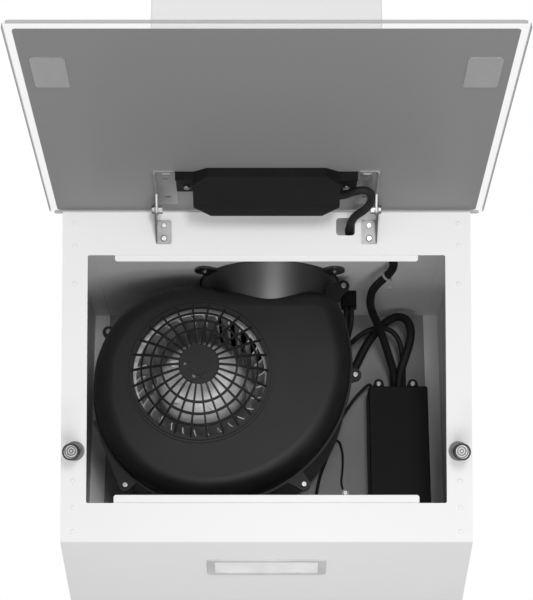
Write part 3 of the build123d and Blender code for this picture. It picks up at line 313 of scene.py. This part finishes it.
# %% Black plastic and rubber
def moulded(name, level, roughness, grain=1500, depth=0.00003, shine=0.5, **gloss):
    plastic = Finish(name, specular_ior_level=shine, **gloss)
    pits = plastic.noise(grain, detail=1)
    flow = plastic.noise(22, detail=2)
    shade = plastic.shades(flow.spread(0.25, 0.75), grey(level * 0.85), grey(level * 1.15))
    plastic.feed(base_color=shade, roughness=roughness - 0.05 + 0.06 * flow + 0.06 * pits)
    return plastic.bump(pits, depth, 0.6)


neck_gloss = {"coat_weight": 1.0, "coat_roughness": 0.37, "coat_ior": 1.75}
finishes["black_plastic"] = moulded("black moulding", 0.012, 0.44, shine=0.24)
finishes["box_plastic"] = moulded("black box moulding", 0.008, 0.5, shine=0.12)
finishes["neck_plastic"] = moulded("black neck moulding", 0.008, 0.46, shine=0.4, **neck_gloss)
finishes["catch_ring_black"] = moulded("black rubber", 0.02, 0.6, grain=2500)
finishes["catch_post_grey"] = moulded("grey catch post", 0.2, 0.4)
finishes["lamp_grey"] = moulded("lamp bezel", 0.56, 0.38)
finishes["tie_nylon"] = moulded("natural nylon", 0.42, 0.4)
finishes["cable_black"] = moulded("cable jacket", 0.011, 0.62, grain=900, depth=0.00005, shine=0.25)
print("with mouldings:", len(finishes))

# %% [markdown]
# ## Lamp lens and circuit boards
# The lens is frosted, so it spreads the light of its diodes. A board is seen only when
# its housing is taken off. Its tracks stand a little proud of the green mask, as the
# borders between the cells of a Voronoi pattern.

# %% Lens and boards
lens = Finish("frosted lens", roughness=0.5)
lens.feed(base_color=lens.shades(lens.noise(30).spread(0.3, 0.7), grey(0.8), grey(0.88)))
finishes["lamp_lens"] = lens.bump(lens.noise(1600, detail=2), 0.00003, 0.6)

board = Finish("solder mask", roughness=0.35)
tracks = board.cells(300, feature="DISTANCE_TO_EDGE").spread(0.02, 0.06)
board.feed(base_color=board.shades(tracks, (0.02, 0.09, 0.05), (0.01, 0.05, 0.03)))
finishes["circuit_board"] = board.bump(tracks, 0.00005, 0.5)
print("with lens and boards:", len(finishes))

# %% [markdown]
# ## Glass and its coat
# The glass is clear float glass, painted on its inner face inside a clear border: white
# towards the kitchen and grey towards the hood. Its ground edge is nearly opaque. A
# refracting glass would need many bounces to look clear, so alpha is used, which stays
# low on the faces and rises within a millimetre of the edge.

# %% Clear glass
def from_plane(finish, direction, origin):
    """Signed distance of a point from a plane, in metres."""
    sockets = {0: finish.place, 1: direction}
    along = finish.node("ShaderNodeVectorMath", {"operation": "DOT_PRODUCT"}, sockets, "Value")
    return along - origin.dot(direction)


glass_length, glass_half_width, ground_edge = 0.3983, 0.249, 0.0011
glass = Finish("clear glass", ior=1.5)
along = from_plane(glass, glass_along, glass_edge)
ends = (along < ground_edge) + (along > glass_length - ground_edge)
cut = (ends + (abs(glass.axis("X")) > glass_half_width - ground_edge)).spread(0, 1)
glass.feed(base_color=glass.shades(cut, grey(0.9), grey(0.34)))
glass.feed(alpha=0.14 + 0.7 * cut, roughness=0.02 + 0.25 * cut)
finishes["glass_clear"] = glass
print("with glass:", len(finishes))

# %% Coat behind the glass
skin = 0.0001
paint = Finish("back-painted coat")
hood_side = from_plane(paint, glass_out, glass_edge) > skin
paint.feed(base_color=paint.shades(hood_side, grey(0.8), grey(0.23)))
paint.feed(roughness=0.38 + 0.1 * paint.noise(14))
finishes["glass_coat"] = paint.bump(paint.noise(700, detail=2), 0.00002, 0.4)
print("with the coat:", len(finishes))

# %% [markdown]
# ## Each solid takes its finish
# The record names a material slot for every node, so one loop dresses them all. A few
# nodes share a slot but look different in the light, and take a finish of their own.

# %% Dress the solids
finish_names = {part["node"]: part["material_slot"] for part in frame["record"]["subparts"]}
finish_names["outlet_neck"] = "neck_plastic"
finish_names["fan_wheel"] = "wheel_steel"
# The back panel is painted dark grey all over: painted shade for the inside of the hood.
finish_names["back_panel"] = "dark_panel_shade"
finish_names["catch_magnets"] = "turned_steel"
finish_names["catch_plates"] = "plate_steel"
finish_names["frame_rivets"] = "white_steel"
for box_part in ("control_box_base", "control_box_lid", "touch_box_base", "touch_box_cover", "motor_plug"):
    finish_names[box_part] = "box_plastic"
for name, node in nodes.items():
    node.data.materials.clear()
    node.data.materials.append(finishes[finish_names[name]].material)
print("dressed", len(finish_names), "nodes")

# %% [markdown]
# ## Round cables
# A cable keeps its length and bends in long smooth curves. Each is a NURBS spline that
# has the route's corner points as its control points, so it cuts softly inside them. A
# bevel makes the line a round jacket, and a conversion makes that a mesh.

# %% Round lines
def round_line(name, points, radius):
    """A smooth round tube along its control points, as a mesh."""
    line = bpy.data.curves.new(name, "CURVE")
    line.dimensions = "3D"
    spline = line.splines.new("NURBS")
    spline.points.add(len(points) - 1)
    for spot, point in zip(spline.points, points):
        spot.co = (*point, 1)
    spline.order_u = 3
    spline.use_endpoint_u = True
    line.resolution_u = 8
    line.bevel_depth = radius
    line.bevel_resolution = 5
    line.use_fill_caps = True
    piece = bpy.data.objects.new(name, line)
    bpy.context.collection.objects.link(piece)
    bpy.ops.object.select_all(action="DESELECT")
    piece.select_set(True)
    bpy.context.view_layer.objects.active = piece
    bpy.ops.object.convert(target="MESH")
    bpy.ops.object.shade_smooth()
    return piece


print("round lines ready")

# %% Pieces of the scene
def dress(piece, finish, body="hood"):
    """Give a new piece its finish and slot, and let it ride on its body."""
    piece.data.materials.clear()
    piece.data.materials.append(finishes[finish].material)
    if body:
        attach(piece, body)
    print(piece.name, len(piece.data.polygons), "faces")
    return piece


def cable(name, node, points, radius, body="hood"):
    """A black cable that stands for a node, or belongs with one that does."""
    piece = dress(round_line(name, points, radius), "cable_black", body=body)
    if node:
        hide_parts(node)
    return piece


print("cable helper ready")

# %% [markdown]
# ## The cable of the touch unit
# It leaves the housing on the glass, crosses the hinge in an S and dives through the
# face. It is the one cable that a joint bends, so it is attached to neither body.
# A rigid piece on either body would tear off at the other.

# %% Cable over the hinge
glass_route = [on_glass(68, 68, 12.5), on_glass(84, 68, 12.5), on_glass(97, 80, 12.5)]
glass_route += [on_glass(108, 84, 12.5), on_glass(116, 78, 14), on_glass(116.5, 66, 19)]
glass_route += [on_face(110.2, 4, 30), on_face(99.9, 8.4, 14), on_face(95.6, 16.2, 0)]
glass_route += [on_face(95.2, 20.8, -8)]
glass_lead = cable("glass_lead", "glass_cable", glass_route, radius=0.0046, body=None)
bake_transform(glass_lead)

# %% [markdown]
# ## Its sleeve inside the hood
# Behind the face a thicker sleeve carries the cable on to the control box. It starts in
# line with the end of the first cable, so that the two read as one.

# %% Control sleeve
joint_gap, straight_run = 0.0003, 0.022
inner_end = glass_route[-1]
heading = (inner_end - glass_route[-2]).normalized()
control_route = [inner_end + heading * joint_gap, inner_end + heading * straight_run, at(128, 300, 10)]
control_route += [at(155, 246, 8), at(157, 221, 15), at(133, 190, 27), at(131, 160, 32), at(133.5, 131, 35)]
control_route += [at(140.2, 103, 38), at(150.8, 74, 50.5), at(160.9, 50, 73), at(168.5, 36, 90)]
control_route += [at(170, 27, 106), at(170, 27, 126)]
cable("control_lead", "control_cable", control_route, radius=0.0052)

# %% [markdown]
# ## Mains and motor
# The mains lead comes down through the gland and loops into the control box. The motor's
# lead comes from its plug on the blower, and its tail runs behind the scroll. The points
# are chosen along what can be seen of each, a few for each bend.

# %% Mains lead
mains_route = [at(72, 15, -16), at(72, 15, 20), at(65, 14.5, 48), at(54, 13.5, 76), at(63, 13, 98)]
mains_route += [at(85, 13, 108.5), at(107.5, 13, 101), at(120, 13, 78), at(133, 18, 51), at(147, 28, 33.5)]
mains_route += [at(160, 36, 22.5), at(174, 44, 17), at(186, 51, 23), at(191.5, 55, 38), at(190, 56, 55)]
mains_route += [at(184, 54, 74), at(177, 47, 92), at(174.6, 37.5, 108), at(174.6, 37.5, 126)]
cable("supply_lead", "mains_lead", mains_route, radius=0.0056)

# %% Motor lead and its tail
motor_wire_radius = 0.0034
motor_route = [at(110.75, 97, 22), at(110.75, 97, 34), at(109, 88, 50), at(105.5, 76, 60), at(107, 61, 62)]
motor_route += [at(112.5, 48, 56), at(122, 42, 45), at(135, 43, 37), at(149, 46, 33.5), at(163, 47, 36.5)]
motor_route += [at(173.5, 45, 45.5), at(179, 41, 60), at(181.2, 35, 80), at(181.5, 29.5, 104)]
motor_route += [at(181.5, 29.5, 126)]
cable("motor_lead", "motor_cable", motor_route, motor_wire_radius)
behind_scroll = [at(103.75, 97, 22), at(103.75, 97, 38), at(102.5, 88, 58), at(105, 66, 76)]
behind_scroll += [at(107.5, 24, 86), at(60, 22.5, 120), at(20, 19, 128), at(-18, 11, 136)]
behind_scroll += [at(-47, 8, 141), at(-47, 30.5, 141)]
cable("motor_tail", None, behind_scroll, motor_wire_radius)

# %% [markdown]
# ## Lamp and earth
# The lamp's lead is thin. It leaves the box at its left corner, passes behind the scroll
# down to the floor of the hood and runs forward along it. The earth wire goes from the
# motor to its screw in the back wall, and is the thinnest of all.

# %% Lamp lead
lamp_route = [at(140, 25, 126), at(140, 25, 112), at(137, 25, 105), at(127, 24, 114), at(116, 22, 126)]
lamp_route += [at(107.5, 20, 138), at(98, 18, 153), at(90, 15, 170), at(82, 11, 196), at(62, 6, 250)]
lamp_route += [at(50, 6, 445.7), at(46, 30, 458.6), at(24, 200, 394.4), at(20, 211.9, 389.2)]
lamp_route += [at(20, 224.5, 384.5)]
cable("lamp_lead", "lamp_cable", lamp_route, radius=0.002)

# %% Earth wire
earth_route = [at(-62, 30.5, 165), at(-62, 12, 165), at(93, 8, 172), at(101, 7, 191), at(100.7, 6, 218)]
earth_route += [at(97.5, 3.2, 236), at(100.6, 2.4, 243.2)]
cable("earth_lead", "earth_wire", earth_route, radius=0.0013)

# %% [markdown]
# ## Shaping a piece by hand
# The tie and the neck are modelled as they would be at the screen: a primitive is added,
# its place goes into its mesh, edges or faces are chosen and worked on, and modifiers
# finish it. These helpers are those steps.

# %% Modelling helpers
def new_piece(name):
    """Name the primitive just added and put its place into its mesh."""
    piece = bpy.context.object
    piece.name = piece.data.name = name
    bpy.ops.object.select_all(action="DESELECT")
    piece.select_set(True)
    bpy.ops.object.transform_apply(location=True, rotation=True, scale=True)
    return piece


def choose(elements, wanted, kind):
    """Go to edit mode on the active piece with only the wanted edges or faces selected."""
    bpy.ops.object.mode_set(mode="EDIT")
    bpy.ops.mesh.select_all(action="DESELECT")
    bpy.ops.object.mode_set(mode="OBJECT")
    for element in elements:
        element.select = wanted(element)
    bpy.ops.object.mode_set(mode="EDIT")
    bpy.ops.mesh.select_mode(type=kind)


def apply(piece, kind, **settings):
    """Add one modifier and apply it."""
    bpy.context.view_layer.objects.active = piece
    modifier = piece.modifiers.new(kind.lower(), kind)
    for key, value in settings.items():
        setattr(modifier, key, value)
    bpy.ops.object.modifier_apply(modifier=modifier.name)


def join(first, *others):
    bpy.ops.object.select_all(action="DESELECT")
    for piece in (first, *others):
        piece.select_set(True)
    bpy.context.view_layer.objects.active = first
    bpy.ops.object.join()


print("modelling helpers ready")

# %% [markdown]
# ## The nylon tie
# A tie gathers the sleeve under the top plate. Its band is an open cylinder round the
# sleeve, turned along it, that Solidify makes a strap. Its head is a bevelled block on
# the side of the band, and its tail hangs from there with a thicker end.

# %% Band of the tie
tie_centre = at(149.3, 211, 19)
band_radius, band_width, band_wall = 0.0056, 0.0028, 0.0009
along_sleeve = Vector((24, -31, 12)).normalized().to_track_quat("Z", "Y").to_euler()
bpy.ops.object.select_all(action="DESELECT")
bpy.ops.mesh.primitive_cylinder_add(vertices=40, radius=band_radius, depth=band_width,
                                    end_fill_type="NOTHING", location=tie_centre, rotation=along_sleeve)
tie = new_piece("nylon_tie")
apply(tie, "SOLIDIFY", thickness=band_wall, offset=1)
print("band", len(tie.data.polygons), "faces")

# %% Head and tail of the tie
head_side, head_reach, head_size = Vector((0.55, 0.10, -0.83)), 0.0072, (0.0034, 0.0034, 0.004)
tail_radius, end_radius, stub_radius = 0.0007, 0.0016, 0.0008
head_place = tie_centre + head_side * head_reach
bpy.ops.object.select_all(action="DESELECT")
bpy.ops.mesh.primitive_cube_add(size=1, location=head_place, rotation=along_sleeve, scale=head_size)
head = new_piece("tie_head")
apply(head, "BEVEL", width=0.0006, segments=3)
tail_route = [at(153.2, 210.4, 25), at(154.6, 210.6, 28), at(152.4, 210.8, 34)]
tail = round_line("tie_tail", tail_route, tail_radius)
blob = round_line("tie_end", [at(152.6, 210.8, 33), at(152.3, 210.8, 36)], end_radius)
stub = round_line("tie_stub", [at(146.4, 210.5, 14.6), at(144.6, 210.5, 12)], stub_radius)
join(tie, head, tail, blob, stub)
dress(tie, "tie_nylon")
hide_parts("cable_tie")

# %% [markdown]
# ## The outlet neck
# A round neck carries the air from the scroll up through the top plate. It widens a
# little towards the plate, and only the screw lobes stand out beside it there. The tube
# is an open cone whose top edge is extruded outwards as a rim, and Solidify then gives
# both their wall, inwards, so that the outside keeps its size.

# %% Tube of the neck
duct_x, duct_away, duct_radius, mouth_radius = 4, 132, 0.075, 0.088
neck_top, neck_bottom = 2.0, 51.7
neck_height = (neck_bottom - neck_top) / 1000
duct_centre = at(duct_x, duct_away, neck_top)
middle = duct_centre - Vector((0, 0, neck_height / 2))
bpy.ops.object.select_all(action="DESELECT")
bpy.ops.mesh.primitive_cone_add(vertices=160, radius1=duct_radius, radius2=mouth_radius, depth=neck_height,
                                end_fill_type="NOTHING", location=middle)
neck = new_piece("neck_moulding")
print("tube", len(neck.data.polygons), "faces")


# %% Rim and wall of the neck
rim_spread, neck_wall, edge_bevel, nearly = 1.03, 0.0024, 0.0005, 1e-5


def at_mouth(edge):
    return all(neck.data.vertices[i].co.z > duct_centre.z - nearly for i in edge.vertices)


choose(neck.data.edges, at_mouth, "EDGE")
bpy.ops.mesh.extrude_region_move()
bpy.ops.transform.resize(value=(rim_spread, rim_spread, 1), center_override=duct_centre)
bpy.ops.object.mode_set(mode="OBJECT")
apply(neck, "SOLIDIFY", thickness=neck_wall, offset=-1)
apply(neck, "BEVEL", width=edge_bevel, segments=2, limit_method="ANGLE")
print("tube with rim and wall", len(neck.data.polygons), "faces")

# %% [markdown]
# ## The screw lobes of the neck
# Each of the four screws holds a lobe beside the neck. A lobe is a flat disc, and the
# half of its edge that faces the tube is extruded into it, which makes the straight
# flanks. A bevel then softens its outline.

# %% Screw lobes
lobe_reach, lobe_angle, lobe_radius, lobe_thickness = 0.0995, 35, 0.0128, 0.0032
flank, lobe_bevel, facing_tube = 0.016, 0.0004, -0.05


def screw_lobe(turn):
    """One lobe, at this angle round the neck."""
    outward = Vector((cos(radians(turn)), sin(radians(turn)), 0))
    spot = duct_centre + outward * lobe_reach - Vector((0, 0, lobe_thickness / 2))
    bpy.ops.object.select_all(action="DESELECT")
    bpy.ops.mesh.primitive_cylinder_add(vertices=48, radius=lobe_radius, depth=lobe_thickness, location=spot)
    lobe = new_piece("lobe")
    choose(lobe.data.polygons, lambda face: face.normal.dot(outward) < facing_tube, "FACE")
    bpy.ops.mesh.extrude_region_move(TRANSFORM_OT_translate={"value": outward * -flank})
    bpy.ops.object.mode_set(mode="OBJECT")
    apply(lobe, "BEVEL", width=lobe_bevel, segments=2, limit_method="ANGLE")
    return lobe


for turn in (lobe_angle, 180 - lobe_angle, 180 + lobe_angle, -lobe_angle):
    join(neck, screw_lobe(turn))
bpy.ops.object.shade_smooth_by_angle(angle=radians(30))
dress(neck, "neck_plastic")
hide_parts("outlet_neck")

# %% [markdown]
# ## The floor
# A pale floor lies well below the hood, out of the camera's sight. It is wide enough to
# be seen under the hood from any side, and throws a little light up at it.

# %% Floor
floor_size, floor_place = 14, (0, -1.2, -1.9)
bpy.ops.object.select_all(action="DESELECT")
bpy.ops.mesh.primitive_plane_add(size=floor_size, location=floor_place)
floor = new_piece("floor")
floor_finish = Finish("pale floor", roughness=0.8)
floor_finish.feed(base_color=floor_finish.shades(floor_finish.noise(60), grey(0.78), grey(0.85)))
floor.data.materials.append(floor_finish.material)
print("floor", floor_size, "m wide")

# %% [markdown]
# ## The white room
# The world is an even white, as in a studio with white walls. At full strength it would
# wash out the dark inside of the hood, so the light it gives is held at about half, and
# only what the camera sees of it, directly, in a reflection or through the glass, is
# white.

# %% World
room_light = 0.48
world = bpy.data.worlds.new("white room")
bpy.context.scene.world = world
world.use_nodes = True
tree = world.node_tree
background = tree.nodes["Background"]
background.inputs["Color"].default_value = (1, 1, 1, 1)
rays = tree.nodes.new("ShaderNodeLightPath")
full_white = rays.outputs["Is Camera Ray"]
for kind in ("Is Transmission Ray", "Is Glossy Ray"):
    either = tree.nodes.new("ShaderNodeMath")
    either.operation = "MAXIMUM"
    tree.links.new(full_white, either.inputs[0])
    tree.links.new(rays.outputs[kind], either.inputs[1])
    full_white = either.outputs[0]
strength = tree.nodes.new("ShaderNodeMapRange")
strength.inputs["To Min"].default_value = room_light
tree.links.new(full_white, strength.inputs["Value"])
tree.links.new(strength.outputs[0], background.inputs["Strength"])
print("room light", room_light)

# %% [markdown]
# ## Soft lamps
# Large soft lamps give the black mouldings their long highlights, which an even room
# can't. The front lamp makes the streak on the neck, the lamps below reach under the
# glass and into the opening, and the others lift the chimney and the left side. The
# camera doesn't see them.

# %% Lamps
def soft_lamp(name, place, target, size, power):
    lamp = bpy.data.lights.new(name, "AREA")
    lamp.shape, lamp.size, lamp.size_y, lamp.energy = "RECTANGLE", size[0], size[1], power
    holder = bpy.data.objects.new(name, lamp)
    bpy.context.collection.objects.link(holder)
    holder.location = place
    holder.rotation_euler = (Vector(target) - Vector(place)).to_track_quat("-Z", "Y").to_euler()
    holder.visible_camera = False


soft_lamp("front lamp", place=(0.2, -2.55, -0.06), target=(0, -0.2, 0.05), size=(0.3, 0.5), power=14)
soft_lamp("chimney lamp", place=(0, -1.1, 2.2), target=(0, -0.2, 0.4), size=(1.0, 0.6), power=16)
soft_lamp("under lamp", place=(-0.02, -0.75, -0.9), target=(-0.05, -0.2, -0.1), size=(0.3, 0.1), power=0.8)
soft_lamp("low lamp", place=(0.2, -1.5, -0.86), target=(0, -0.2, 0), size=(0.8, 0.5), power=6)
soft_lamp("left lamp", place=(-1.6, -2.0, 0.5), target=(0, -0.3, 0), size=(1.2, 1.6), power=4)
print(len(bpy.data.lights), "lamps")

# %% [markdown]
# ## The camera
# The photograph was taken from the front and well below, looking up into the opening.
# Its focal length in pixels, its place and its pitch were fitted to the flat rectangles
# of the hood, and the lens follows from them.

# %% Camera
photo_focal, photo_height, sensor, pitch = 1664.8, 600, 36, 18.44
camera_away, camera_below = 2158.1, 699.5
camera = bpy.data.cameras.new("photo camera")
camera.lens, camera.sensor_width = photo_focal * sensor / photo_height, sensor
camera.clip_start, camera.clip_end = 0.05, 50
tripod = bpy.data.objects.new("photo camera", camera)
bpy.context.collection.objects.link(tripod)
tripod.location = at(0, camera_away, camera_below)
tripod.rotation_euler = (radians(90 + pitch), 0, 0)
bpy.context.scene.camera = tripod
bpy.context.scene.view_settings.view_transform = "Standard"
print("camera lens", round(camera.lens, 2), "mm")
